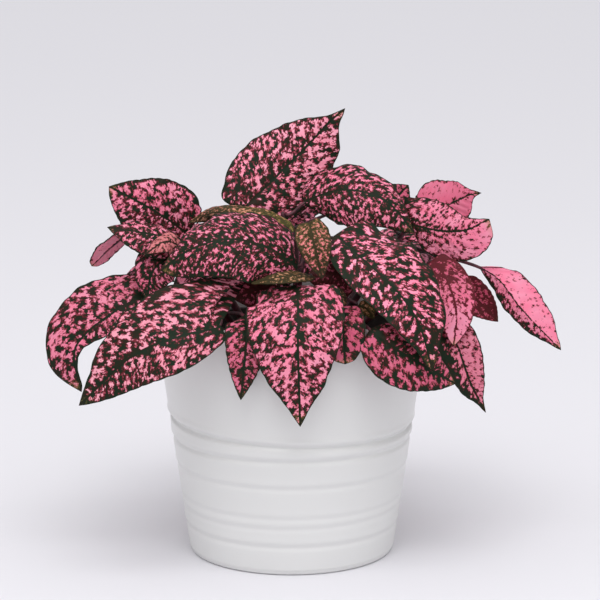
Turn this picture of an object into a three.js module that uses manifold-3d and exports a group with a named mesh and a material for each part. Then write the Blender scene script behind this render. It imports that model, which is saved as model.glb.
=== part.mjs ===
// A polka dot plant in its pot: a glazed ceramic cover pot, the plastic nursery pot that stands in it,
// the potting soil, and leafy stems. Millimetres, +Z up, the origin in the middle of the pot's flat foot,
// and -Y is the plant's front.

import * as THREE from 'three';
import { mergeVertices } from 'three/addons/utils/BufferGeometryUtils.js';
import Module from 'manifold-3d';

const wasm = await Module();
wasm.setup();

// ---------------------------------------------------------------- driving dimensions

const POT_HEIGHT = 117;
const POT_RIM_RADIUS = 65;
const POT_FOOT_RADIUS = 48;
const POT_WALL = 4.5;
const POT_FLOOR = 6;
const POT_FOOT_ROUND = 2.2;
const POT_FLOOR_ROUND = 3;
const RIM_STEPS = 4;
const RING_HEIGHTS = [15.4, 23.8, 30.6, 44.4, 56.8, 67.5];
const RING_GROOVE = 0.5;
const RING_HALF_HEIGHT = 1.6;
const POT_SEGMENTS = 40;

const SEAT_GAP = 0.3;
const LINER_HEIGHT = 98;
const LINER_WALL = 1.2;
const LINER_CLEARANCE = 2.6;
const LINER_LIP = 1.6;
const LINER_LIP_HEIGHT = 7;
const LINER_FOOT_ROUND = 1.5;
const LINER_FILLET = 1;
const DRAIN_RADIUS = 5;
const DRAIN_CIRCLE = 26;
const DRAIN_COUNT = 5;
const LINER_SEGMENTS = 36;

const SOIL_BELOW_LINER_RIM = 6;
const SOIL_MOUND = 4;
const SOIL_EDGE_ROUND = 1;

const STEM_FOOT_DEPTH = 10;
const STEM_FOOT_RADIUS = 2.1;
const STEM_TOP_RADIUS = 1.3;
const STEM_NODE_SWELL = 0.25;
const STEM_SIDES = 7;
const STEM_STEPS = 9;
const SOCKET_GAP = 0.5;

const PETIOLE_RADIUS = 0.9;
const PETIOLE_GAP = 0.35;
const PETIOLE_KNEE = 2.5;
const CURVE_STEPS = 240;
const BLADE_THICKNESS = 0.8;
// Round a blade's section: how far across each point lies, and its height on the upper face or the
// under face. The midrib is a furrow in the upper face and a ridge in the under face.
const SECTION = [[-1, 0], [-0.5, 1], [0, 0.6], [0.5, 1], [1, 0], [0.5, -1], [0, -2.2], [-0.5, -1]];
const PETIOLE_STOPS = [0.12, 0.5, 0.9];
const BLADE_STOPS = [0.03, 0.1, 0.2, 0.32, 0.45, 0.58, 0.7, 0.81, 0.9, 0.965];

// ---------------------------------------------------------------- materials

const glaze = new THREE.MeshStandardMaterial({ color: 0xe9eaec, roughness: 0.3, metalness: 0 });
const linerPlastic = new THREE.MeshStandardMaterial({ color: 0x2b211c, roughness: 0.6, metalness: 0 });
const soilMaterial = new THREE.MeshStandardMaterial({ color: 0x2a1c14, roughness: 1, metalness: 0 });
const stemMaterial = new THREE.MeshStandardMaterial({ color: 0x5a2a33, roughness: 0.6, metalness: 0 });
const leafMaterial = new THREE.MeshStandardMaterial({ color: 0xe2587f, roughness: 0.6, metalness: 0 });

// ---------------------------------------------------------------- solids and booleans

function toSolid(geometry) {
  const bare = geometry.clone();
  bare.deleteAttribute('normal');
  bare.deleteAttribute('uv');
  const merged = mergeVertices(bare, 1e-4);
  return new wasm.Manifold(new wasm.Mesh({
    numProp: 3,
    vertProperties: new Float32Array(merged.attributes.position.array),
    triVerts: new Uint32Array(merged.index.array),
  }));
}

function toGeometry(solid) {
  const mesh = solid.getMesh();
  const geometry = new THREE.BufferGeometry();
  geometry.setAttribute('position', new THREE.BufferAttribute(new Float32Array(mesh.vertProperties), 3));
  geometry.setIndex(new THREE.BufferAttribute(new Uint32Array(mesh.triVerts), 1));
  return geometry;
}

// A lathe turns about Y in three.js; here every turned piece stands up along Z.
function turned(profile, segments) {
  const geometry = new THREE.LatheGeometry(profile, segments);
  geometry.rotateX(Math.PI / 2);
  return geometry;
}

function signedVolume(points, faces) {
  let volume = 0;
  for (let i = 0; i < faces.length; i += 3) {
    const [a, b, c] = [points[faces[i]], points[faces[i + 1]], points[faces[i + 2]]];
    volume += a.dot(new THREE.Vector3().crossVectors(b, c)) / 6;
  }
  return volume;
}

// Closes a row of rings, all with the same number of points, with a pole at each end.
function skinOverRings(firstPole, rings, lastPole) {
  const sides = rings[0].length;
  const points = [firstPole, ...rings.flat(), lastPole];
  const last = points.length - 1;
  const at = (ring, side) => 1 + ring * sides + (side % sides);
  const faces = [];
  for (let side = 0; side < sides; side += 1) {
    faces.push(0, at(0, side + 1), at(0, side));
    for (let ring = 0; ring < rings.length - 1; ring += 1) {
      faces.push(at(ring, side), at(ring, side + 1), at(ring + 1, side));
      faces.push(at(ring, side + 1), at(ring + 1, side + 1), at(ring + 1, side));
    }
    faces.push(last, at(rings.length - 1, side), at(rings.length - 1, side + 1));
  }
  if (signedVolume(points, faces) < 0) faces.reverse();
  const geometry = new THREE.BufferGeometry().setFromPoints(points);
  geometry.setIndex(faces);
  return geometry;
}

// ---------------------------------------------------------------- the two pots and the soil

function potOuterRadius(z) {
  return POT_FOOT_RADIUS + (POT_RIM_RADIUS - POT_FOOT_RADIUS) * (z / POT_HEIGHT);
}

function potInnerRadius(z) {
  return potOuterRadius(z) - POT_WALL;
}

function coverPot() {
  const profile = [new THREE.Vector2(0, 0)];
  profile.push(new THREE.Vector2(POT_FOOT_RADIUS - POT_FOOT_ROUND, 0));
  profile.push(new THREE.Vector2(potOuterRadius(0) - 0.6, 0.6));
  profile.push(new THREE.Vector2(potOuterRadius(POT_FOOT_ROUND), POT_FOOT_ROUND));
  for (const z of RING_HEIGHTS) {
    profile.push(new THREE.Vector2(potOuterRadius(z - RING_HALF_HEIGHT), z - RING_HALF_HEIGHT));
    profile.push(new THREE.Vector2(potOuterRadius(z) - RING_GROOVE, z));
    profile.push(new THREE.Vector2(potOuterRadius(z + RING_HALF_HEIGHT), z + RING_HALF_HEIGHT));
  }
  // The rim is half round across the wall.
  const lipHeight = POT_HEIGHT - POT_WALL / 2;
  const lipMiddle = (potOuterRadius(lipHeight) + potInnerRadius(lipHeight)) / 2;
  for (let i = 0; i <= RIM_STEPS; i += 1) {
    const turn = (i / RIM_STEPS) * Math.PI;
    const across = Math.cos(turn) * (POT_WALL / 2);
    profile.push(new THREE.Vector2(lipMiddle + across, lipHeight + Math.sin(turn) * (POT_WALL / 2)));
  }
  profile.push(new THREE.Vector2(potInnerRadius(POT_FLOOR + POT_FLOOR_ROUND), POT_FLOOR + POT_FLOOR_ROUND));
  profile.push(new THREE.Vector2(potInnerRadius(POT_FLOOR) - POT_FLOOR_ROUND, POT_FLOOR));
  profile.push(new THREE.Vector2(0, POT_FLOOR));
  return turned(profile, POT_SEGMENTS);
}

const linerFoot = POT_FLOOR + SEAT_GAP;
const linerTop = linerFoot + LINER_HEIGHT;

function linerOuterRadius(z) {
  return potInnerRadius(z) - LINER_CLEARANCE;
}

function nurseryPot() {
  const lipFoot = linerTop - LINER_LIP_HEIGHT;
  const profile = [
    new THREE.Vector2(0, linerFoot),
    new THREE.Vector2(linerOuterRadius(linerFoot) - LINER_FOOT_ROUND, linerFoot),
    new THREE.Vector2(linerOuterRadius(linerFoot), linerFoot + LINER_FOOT_ROUND),
    new THREE.Vector2(linerOuterRadius(lipFoot), lipFoot),
    new THREE.Vector2(linerOuterRadius(lipFoot) + LINER_LIP, lipFoot),
    new THREE.Vector2(linerOuterRadius(linerTop) + LINER_LIP, linerTop),
    new THREE.Vector2(linerOuterRadius(linerTop) - LINER_WALL, linerTop),
    new THREE.Vector2(linerOuterRadius(linerFoot) - LINER_WALL, linerFoot + LINER_WALL + LINER_FILLET),
    new THREE.Vector2(0, linerFoot + LINER_WALL),
  ];
  let solid = toSolid(turned(profile, LINER_SEGMENTS));
  for (let i = 0; i < DRAIN_COUNT; i += 1) {
    const turn = (i / DRAIN_COUNT) * Math.PI * 2;
    const drill = new THREE.CylinderGeometry(DRAIN_RADIUS, DRAIN_RADIUS, 10, 12);
    drill.rotateX(Math.PI / 2);
    drill.translate(DRAIN_CIRCLE * Math.cos(turn), DRAIN_CIRCLE * Math.sin(turn), linerFoot);
    solid = solid.subtract(toSolid(drill));
  }
  return toGeometry(solid);
}

const soilEdge = linerTop - SOIL_BELOW_LINER_RIM;
const soilRadius = linerOuterRadius(soilEdge - SOIL_EDGE_ROUND) - LINER_WALL - SEAT_GAP;

function soilHeight(radius) {
  const inward = 1 - Math.min(1, radius / soilRadius);
  return soilEdge + SOIL_MOUND * Math.sin(inward * Math.PI / 2);
}

// ---------------------------------------------------------------- stems

// Each stem: where it leaves the soil, a bend on the way, and its growing tip.
const STEMS = {
  a: [[-4, 10], [-5, 9, 132], [-4, 8, 160]],
  b: [[-20, 4], [-34, 2, 128], [-47, -4, 149]],
  c: [[-22, -14], [-32, -24, 120], [-42, -34, 134]],
  d: [[2, -14], [3, -22, 128], [6, -26, 150]],
  e: [[20, -20], [26, -32, 116], [30, -40, 126]],
  f: [[20, 8], [40, 8, 132], [54, 8, 152]],
  g: [[26, -6], [46, -10, 122], [58, -14, 138]],
  h: [[-22, 22], [-36, 32, 124], [-46, 40, 140]],
  i: [[2, 30], [2, 44, 126], [2, 52, 144]],
  j: [[22, 26], [36, 38, 124], [44, 46, 138]],
};

function stemCurve([[x, y], ...upper]) {
  const surface = soilHeight(Math.hypot(x, y));
  const foot = new THREE.Vector3(x, y, surface - STEM_FOOT_DEPTH);
  const collar = new THREE.Vector3(x, y, surface);
  const points = [foot, collar, ...upper.map((p) => new THREE.Vector3(...p))];
  return new THREE.CatmullRomCurve3(points, false, 'centripetal');
}

const stemCurves = Object.fromEntries(Object.entries(STEMS).map(([key, row]) => [key, stemCurve(row)]));

function stemRadius(along) {
  const swell = STEM_NODE_SWELL * Math.max(0, Math.sin(along * Math.PI * 6)) ** 4;
  return THREE.MathUtils.lerp(STEM_FOOT_RADIUS, STEM_TOP_RADIUS, along) + swell;
}

// A stem, or with extra radius the socket that the soil leaves for it.
function stem(curve, extra = 0) {
  const rings = [];
  for (let i = 0; i <= STEM_STEPS; i += 1) {
    const along = 0.015 + 0.97 * (i / STEM_STEPS);
    const centre = curve.getPointAt(along);
    const tangent = curve.getTangentAt(along);
    const side = new THREE.Vector3(0, 1, 0).cross(tangent).normalize();
    const front = new THREE.Vector3().crossVectors(tangent, side);
    const radius = stemRadius(along) + extra;
    const ring = [];
    for (let k = 0; k < STEM_SIDES; k += 1) {
      const turn = (k / STEM_SIDES) * Math.PI * 2;
      const offset = side.clone().multiplyScalar(Math.cos(turn) * radius);
      offset.addScaledVector(front, Math.sin(turn) * radius);
      ring.push(offset.add(centre));
    }
    rings.push(ring);
  }
  const foot = curve.getPointAt(0);
  foot.z -= extra;
  return skinOverRings(foot, rings, curve.getPointAt(1));
}

function pottingSoil() {
  const foot = linerFoot + LINER_WALL + LINER_FILLET + SEAT_GAP;
  const profile = [
    new THREE.Vector2(0, foot),
    new THREE.Vector2(linerOuterRadius(foot) - LINER_WALL - SEAT_GAP - 0.6, foot),
    new THREE.Vector2(soilRadius, soilEdge - SOIL_EDGE_ROUND),
    new THREE.Vector2(soilRadius - 1.5 * SOIL_EDGE_ROUND, soilEdge),
    new THREE.Vector2(soilRadius * 0.75, soilHeight(soilRadius * 0.75)),
    new THREE.Vector2(soilRadius * 0.4, soilHeight(soilRadius * 0.4)),
    new THREE.Vector2(0, soilHeight(0)),
  ];
  let solid = toSolid(turned(profile, LINER_SEGMENTS));
  for (const curve of Object.values(stemCurves)) {
    solid = solid.subtract(toSolid(stem(curve, SOCKET_GAP)));
  }
  return toGeometry(solid);
}

// ---------------------------------------------------------------- leaves

// Each leaf: its stem and how far up it sits, the midrib from the blade's foot to its tip, the blade's
// flat width, and the way its upper face looks. The shape values after these are in degrees or parts of
// the half width: rise lifts the halves from the midrib, curl turns the margins down, twist turns the
// blade on its way to the tip, skew widens the right half, wave ruffles the margins, lobe sweeps the
// foot of the blade back, and blunt below 0.5 makes that foot broader. A pair is [left, right].
const LEAVES = [
  // The crown, on stem a.
  ['crown', 'a', 0.9, [[-22, 6, 159], [-9, 15, 173], [6, 22, 187], [24, 25, 206]], 41,
    [0.1, -1, 0.25], { rise: 6, curl: 14, lobe: 0.1, blunt: [0.5, 0.4], taper: [1.05, 0.75] }],
  ['arch_right', 'a', 0.97, [[5, 10, 163], [24, 2, 171], [43, -3, 167], [57, -6, 152]], 35,
    [0.1, -0.8, 0.6], { rise: 4, curl: 24, blunt: [0.5, 0.8], taper: [1.2, 0.95] }],
  ['arch_left', 'a', 0.84, [[-12, -4, 156], [-26, -6, 161], [-38, -7, 162], [-48, -6, 157]], 19,
    [0, -0.4, 1], { curl: 16 }],
  ['young_arch', 'd', 0.99,
    [[-1, -20, 154], [-3, -17, 159], [-10, -15, 163.5], [-21, -14, 165.5], [-33, -14, 166], [-41, -12, 162],
      [-44, -11, 157]], 14, [0, -0.15, 1], { curl: 18 }],
  ['young_front', 'd', 0.97, [[7.5, -35, 163], [10, -42, 155], [14, -47, 139]], 16,
    [0.1, -1, 0.4], { rise: 10 }],
  ['crown_back', 'a', 0.78, [[-2, 22, 154], [-4, 38, 166], [-6, 54, 165], [-8, 66, 156]], 42,
    [0, 0.3, 1], { curl: 16 }],
  ['crown_back_left', 'a', 0.68, [[-14, 18, 147], [-25, 33, 154], [-36, 50, 151]], 38,
    [0, 0.2, 1], { curl: 16 }],
  ['crown_back_right', 'a', 0.86, [[22, 26, 157], [34, 33, 159], [44, 40, 157], [55, 47, 148]], 34,
    [0.2, 0.2, 1], { curl: 16 }],

  // The front, on stems d and e.
  ['dome_left', 'd', 0.93,
    [[4, -34, 142], [-10, -40, 152], [-29, -45, 157], [-46, -46, 152], [-59, -43, 142]], 41,
    [0, -0.7, 0.7], { rise: [0, 4], curl: 24, skew: 0.1, blunt: 0.4, taper: [0.6, 0.95] }],
  ['sweep_right', 'd', 0.95,
    [[18, -28, 155], [32, -46, 148], [48, -58, 135], [57, -64, 122], [63, -67, 101]], 40,
    [0.35, -0.8, 0.5], { rise: 4, curl: 12, blunt: [0.35, 0.6], skew: -0.28, taper: 0.8 }],
  ['front_middle', 'd', 0.84, [[2, -44, 136], [3, -60, 131], [3, -72, 114], [4, -72, 77]], 44,
    [0, -1, 0.15], { rise: 6, curl: 10, blunt: 0.4, skew: 0.06 }],
  ['young_curl', 'd', 0.78, [[9, -37, 139], [-3, -49, 141], [-18, -51, 138]], 10, [0, -0.5, 1], { rise: -10 }],
  ['inner_left', 'd', 0.62, [[-2, -26, 129], [-14, -31, 131], [-27, -36, 128]], 24,
    [0, -1, 0.35], { curl: 12 }],
  ['front_left', 'c', 0.62, [[-21.5, -50, 123], [-20, -64, 117], [-22.5, -67, 88]], 19,
    [0, -1, 0.2], { rise: 6 }],
  ['front_right', 'e', 0.95, [[22, -50, 128], [23, -62, 121], [24, -65, 104]], 20,
    [0, -1, 0.2], { rise: 6, blunt: 0.4, taper: 0.5 }],
  ['right_low', 'e', 0.9, [[35, -60, 119], [48, -64, 110], [62, -61, 101], [74, -53, 92]], 31,
    [0.3, -0.85, 0.4], { curl: 10, blunt: 0.5 }],
  ['young_left_bud', 'e', 0.99, [[25, -46, 130], [21, -50, 132], [15, -52, 132.5]], 9, [0, -0.8, 0.6], {}],
  ['young_right_bud', 'e', 0.97, [[30, -48, 127], [34, -50, 126], [37, -52, 122]], 8, [0, -0.8, 0.6], {}],

  // The left, on stem b, and below it on stem c.
  ['left_high', 'b', 0.98, [[-48, 0, 150], [-63, -4, 162], [-84, -6, 174]], 35,
    [-0.1, -1, 0.3], { rise: 6, curl: 12, blunt: 0.4, taper: [0.75, 0.95] }],
  ['left_middle', 'b', 0.94, [[-50, -14, 150], [-66, -21, 155], [-84, -22, 158]], 24,
    [-0.1, -0.6, 0.8], { curl: 20 }],
  ['young_left', 'b', 0.9, [[-48, -24, 148], [-57, -30, 153], [-66, -34, 148]], 14,
    [-0.2, -0.7, 0.7], { curl: 20 }],
  ['left_drooping', 'b', 0.84, [[-55, -22, 144], [-63, -27, 139], [-66, -28, 125]], 22,
    [-0.3, -0.9, 0.4], { curl: 10 }],
  ['left_far', 'b', 0.88, [[-72, 10, 151], [-84, 12, 143], [-94, 12, 133]], 13, [-0.5, 0.6, 0.4], { blunt: 0.7, taper: 0.5 }],
  ['left_hanging', 'c', 0.97, [[-58, -18, 129], [-80, -26, 120], [-99, -30, 103], [-96.5, -28, 82]], 32,
    [-0.35, -0.9, 0.35], { rise: 4, curl: 10, skew: 0.28, blunt: [0.5, 0.75], taper: [1.9, 0.8] }],
  ['left_front', 'c', 0.93, [[-31, -60, 121], [-48, -68, 118], [-69, -70, 110], [-95, -65, 85]], 43,
    [-0.1, -0.8, 0.55], { rise: 2, curl: 10, skew: 0.25, lobe: [0, 2.4], blunt: [0.62, 0.25] }],
  ['left_inner', 'b', 0.8, [[-36, 12, 143], [-46, 26, 149], [-60, 38, 146]], 34,
    [-0.1, 0.2, 1], { curl: 16 }],
  ['left_top_inner', 'b', 0.7, [[-29, -5, 135], [-16, -8, 139], [2, -9, 143]], 28,
    [0, -1, 0.4], { curl: 12 }],

  // The right, on stems f and g.
  ['right_high_front', 'f', 0.97, [[55, 2, 154], [67, -4, 153], [80, -9, 154], [91, -10, 159.5]], 28.5,
    [0, -1, 0.2], { curl: 12, lobe: [0.6, 0], blunt: [0.3, 0.7], taper: [1.1, 0.5] }],
  ['right_high_back', 'f', 0.97, [[62, 18, 156], [75, 22, 161], [87, 22, 167]], 27,
    [0, -1, 0.3], { curl: 8, blunt: 0.4, taper: [0.8, 0.9] }],
  ['right_top_small', 'f', 0.93, [[44, 20, 157], [49, 24, 163], [55, 26, 169]], 18, [-0.1, -1, 0.3], {}],
  ['right_far', 'f', 0.9, [[88, 3, 134], [97, -2, 128.5], [106, -6, 117], [125.5, -6, 96.5]], 20,
    [0.4, -0.8, 0.4], { rise: [0, -60], skew: -0.3, lobe: [-1.5, 0], blunt: 0.6, taper: 0.75 }],
  ['right_shade', 'f', 0.82, [[56, 18, 142], [68, 18, 139], [80, 16, 131]], 18, [0, 0, 1], {}],
  ['right_top_inner', 'f', 0.78, [[34, 2, 143], [24, -7, 147], [13, -13, 145]], 26,
    [0, 0, 1], { curl: 12 }],
  ['right_inner', 'g', 0.6, [[31, -3, 128], [20, -3, 132], [7, -3, 130]], 26, [0, -1, 0.4], { curl: 12 }],
  ['right_shaded', 'g', 0.97, [[64, -14, 141], [71, -26, 134], [75, -34, 121], [74, -34, 105]], 22,
    [0.3, -0.9, 0.3], { taper: 0.8 }],
  ['right_maroon', 'g', 0.9, [[76, 8, 124], [87, 10, 117], [97, 8, 107]], 18, [0.2, -0.9, 0.4], {}],
  ['right_hanging', 'g', 0.85, [[69, -24, 118], [76, -31, 104], [82, -30, 87], [89, -28, 73]], 20,
    [0.2, -0.9, 0.2], { rise: 16 }],

  // The back, on stems h, i and j, and the two flanks.
  ['back_top', 'i', 0.97, [[-2, 62, 147], [-6, 76, 150], [-10, 92, 140], [-12, 101, 121]], 44,
    [0, 0.5, 1], { curl: 16 }],
  ['back_middle', 'i', 0.85, [[6, 62, 132], [10, 79, 126], [13, 89, 106], [13, 87, 76]], 44,
    [0, 1, 0.4], { rise: 5, curl: 10 }],
  ['back_right_top', 'j', 0.97, [[50, 52, 139], [60, 66, 141], [69, 80, 132], [73, 89, 114]], 42,
    [0.4, 0.5, 1], { curl: 16 }],
  ['back_right_low', 'j', 0.85, [[38, 62, 122], [46, 75, 114], [52, 82, 96], [53, 82, 72]], 38,
    [0.5, 1, 0.3], { curl: 12 }],
  ['flank_right', 'j', 0.9, [[58, 36, 136], [71, 40, 132], [80, 43, 116], [82, 45, 96]], 38,
    [1, 0.5, 0.6], { curl: 12 }],
  ['flank_right_low', 'g', 0.75, [[64, 18, 122], [72, 22, 114], [77, 24, 98], [77, 24, 80]], 32,
    [1, 0.2, 0.3], {}],
  ['back_left_top', 'h', 0.97, [[-49, 48, 141], [-57, 62, 143], [-63, 76, 134], [-66, 86, 116]], 40,
    [-0.4, 0.5, 1], { curl: 16 }],
  ['back_left_low', 'h', 0.85, [[-36, 62, 122], [-43, 75, 114], [-48, 82, 96], [-48, 82, 72]], 38,
    [-0.5, 1, 0.3], { curl: 12 }],
  ['flank_left', 'h', 0.9, [[-58, 32, 134], [-71, 36, 130], [-79, 39, 113], [-80, 41, 94]], 36,
    [-1, 0.5, 0.6], { curl: 12 }],
  ['flank_left_low', 'c', 0.8, [[-63, 8, 122], [-71, 12, 114], [-75, 15, 98], [-75, 15, 80]], 32,
    [-1, 0.2, 0.3], {}],
];

// The half width along a blade, 1 where it is widest: round at the foot (blunt) and drawn
// out at the tip (taper).
function widthProfile(t, blunt, taper) {
  const shape = (u) => u ** blunt * (1 - u) ** taper;
  return shape(t) / shape(blunt / (blunt + taper));
}

function leaf(stemKey, height, midrib, width, facing, shape) {
  const { rise = 0, curl = 0, twist = 0, skew = 0, wave = 0, lobe = 0, blunt = 0.5, taper = 0.95 } = shape;
  const pair = (value) => (Array.isArray(value) ? value : [value, value]);
  const [rises, curls, lobes, blunts, tapers] = [rise, curl, lobe, blunt, taper].map(pair);
  const foot = new THREE.Vector3(...midrib[0]);
  const node = stemCurves[stemKey].getPointAt(height);
  const growth = stemCurves[stemKey].getTangentAt(height);
  const outward = foot.clone().sub(node);
  outward.addScaledVector(growth, -outward.dot(growth) * (height > 0.98 ? 0 : 1)).normalize();
  const start = node.clone().addScaledVector(outward, stemRadius(height) + PETIOLE_GAP);
  const knee = start.clone().addScaledVector(outward, PETIOLE_KNEE);
  const points = [start, knee, ...midrib.map((p) => new THREE.Vector3(...p))];
  const curve = new THREE.CatmullRomCurve3(points, false, 'centripetal');
  const lengths = curve.getLengths(CURVE_STEPS);
  const bladeFrom = lengths[Math.round((2 * CURVE_STEPS) / (points.length - 1))] / lengths[CURVE_STEPS];
  const up = new THREE.Vector3(...facing).normalize();

  const frameAt = (along, t) => {
    const tangent = curve.getTangentAt(along);
    const normal = up.clone().addScaledVector(tangent, -up.dot(tangent)).normalize();
    normal.applyAxisAngle(tangent, THREE.MathUtils.degToRad(twist) * (t - 0.4));
    const side = new THREE.Vector3().crossVectors(tangent, normal);
    return { centre: curve.getPointAt(along), tangent, normal, side };
  };
  const place = ({ centre, tangent, normal, side }, across, lift, forward = 0) => centre.clone()
    .addScaledVector(side, across).addScaledVector(normal, lift).addScaledVector(tangent, forward);

  const rings = [];
  for (const stop of PETIOLE_STOPS) {
    const frame = frameAt(bladeFrom * stop, 0);
    rings.push(SECTION.map((_, k) => {
      const turn = Math.PI - (k / SECTION.length) * Math.PI * 2;
      return place(frame, Math.cos(turn) * PETIOLE_RADIUS, Math.sin(turn) * PETIOLE_RADIUS);
    }));
  }
  for (const t of BLADE_STOPS) {
    const frame = frameAt(bladeFrom + (1 - bladeFrom) * t, t);
    const sweepBack = Math.max(0, 1 - t / 0.35) ** 2;
    const surfaceAt = (s) => {
      const right = s > 0 ? 1 : 0;
      const share = widthProfile(t, blunts[right], tapers[right]) * (1 + (right ? skew : -skew));
      const half = Math.max(PETIOLE_RADIUS, share * (width / 2));
      const reach = Math.abs(s) * half;
      const lean = THREE.MathUtils.degToRad(rises[right] - curls[right] * Math.abs(s));
      const ruffle = wave * half * s * s * Math.sin(t * 14 + (right ? 0 : 1.7));
      const across = Math.sign(s) * reach * Math.cos(lean);
      return [across, reach * Math.sin(lean) + ruffle, -sweepBack * lobes[right] * reach * Math.abs(s)];
    };
    const thick = (BLADE_THICKNESS / 2) * (0.6 + 0.4 * Math.sin(Math.PI * t));
    rings.push(SECTION.map(([s, level]) => {
      const [across, lift, forward] = surfaceAt(s);
      return place(frame, across, lift + level * thick, forward);
    }));
  }
  return skinOverRings(start, rings, curve.getPointAt(1));
}

// ---------------------------------------------------------------- the plant

const plant = new THREE.Group();

function add(name, geometry, material) {
  const mesh = new THREE.Mesh(geometry, material);
  mesh.name = name;
  plant.add(mesh);
}

add('cover_pot', coverPot(), glaze);
add('nursery_pot', nurseryPot(), linerPlastic);
add('potting_soil', pottingSoil(), soilMaterial);
for (const [key, curve] of Object.entries(stemCurves)) {
  add(`stem_${key}`, stem(curve), stemMaterial);
}
for (const [name, stemKey, height, midrib, width, facing, shape] of LEAVES) {
  add(`leaf_${name}`, leaf(stemKey, height, midrib, width, facing, shape), leafMaterial);
}

export default plant;
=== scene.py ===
"""A polka dot plant in its white ceramic pot: pink and dark green leaves on maroon stems, rooted in
dark potting soil in a nursery pot that stands inside the ceramic one. Lengths are metres, unless a
name ends in _mm."""

import math

import bpy
import numpy as np
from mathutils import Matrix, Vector


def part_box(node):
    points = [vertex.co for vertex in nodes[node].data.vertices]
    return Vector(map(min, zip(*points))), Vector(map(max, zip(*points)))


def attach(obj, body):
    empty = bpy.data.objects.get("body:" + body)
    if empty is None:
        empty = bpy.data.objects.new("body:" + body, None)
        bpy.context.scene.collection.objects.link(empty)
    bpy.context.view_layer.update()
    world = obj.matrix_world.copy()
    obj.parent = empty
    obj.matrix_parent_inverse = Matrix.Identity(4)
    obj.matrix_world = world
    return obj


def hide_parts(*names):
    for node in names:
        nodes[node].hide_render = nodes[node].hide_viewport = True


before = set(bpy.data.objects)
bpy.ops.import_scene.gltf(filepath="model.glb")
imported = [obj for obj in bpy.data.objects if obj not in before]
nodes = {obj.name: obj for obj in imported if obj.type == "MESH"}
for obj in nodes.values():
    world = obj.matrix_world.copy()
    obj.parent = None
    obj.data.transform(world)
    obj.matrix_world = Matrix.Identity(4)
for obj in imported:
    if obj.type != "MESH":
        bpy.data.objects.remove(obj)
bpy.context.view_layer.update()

MM = 0.001


# ---------------------------------------------------------------- camera

SENSOR_WIDTH_MM = 36.0
LENS_MM = 175.9
CAMERA_PLACE = (0.0039, -1.335, 0.410)
CAMERA_LOOKS_DOWN_DEG = 12.29


def add_camera():
    data = bpy.data.cameras.new("camera")
    data.sensor_width = SENSOR_WIDTH_MM
    data.lens = LENS_MM
    camera = bpy.data.objects.new("camera", data)
    bpy.context.collection.objects.link(camera)
    camera.location = CAMERA_PLACE
    camera.rotation_euler = (math.radians(90 - CAMERA_LOOKS_DOWN_DEG), 0, 0)
    bpy.context.scene.camera = camera


# ---------------------------------------------------------------- modelling helpers

def deselect_all():
    bpy.ops.object.select_all(action="DESELECT")


def make_active(piece):
    deselect_all()
    piece.select_set(True)
    bpy.context.view_layer.objects.active = piece


def apply_modifiers(piece):
    make_active(piece)
    for modifier in list(piece.modifiers):
        bpy.ops.object.modifier_apply(modifier=modifier.name)


def join(pieces):
    deselect_all()
    for piece in pieces:
        piece.select_set(True)
    bpy.context.view_layer.objects.active = pieces[0]
    bpy.ops.object.join()
    return pieces[0]


def smooth(piece, angle=60):
    make_active(piece)
    bpy.ops.object.shade_smooth_by_angle(angle=math.radians(angle))


def points_of(mesh):
    flat = np.empty(len(mesh.vertices) * 3)
    mesh.vertices.foreach_get("co", flat)
    return flat.reshape(-1, 3)


def place_points(mesh, points):
    mesh.vertices.foreach_set("co", np.ascontiguousarray(points, float).ravel())
    mesh.update()


def merge_near(piece, threshold=1e-6):
    make_active(piece)
    bpy.ops.object.mode_set(mode="EDIT")
    bpy.ops.mesh.select_all(action="SELECT")
    bpy.ops.mesh.remove_doubles(threshold=threshold)
    bpy.ops.object.mode_set(mode="OBJECT")


def merged_copy(node):
    """A copy of a CAD node's mesh with its loose triangles joined."""
    mesh = nodes[node].data.copy()
    piece = bpy.data.objects.new("copy", mesh)
    bpy.context.collection.objects.link(piece)
    merge_near(piece, 1e-5)
    mesh.materials.clear()
    return piece


def finish_piece(piece, slot, *replaced):
    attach(piece, "root")
    if replaced:
        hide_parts(*replaced)


# ---------------------------------------------------------------- material helpers

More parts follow.
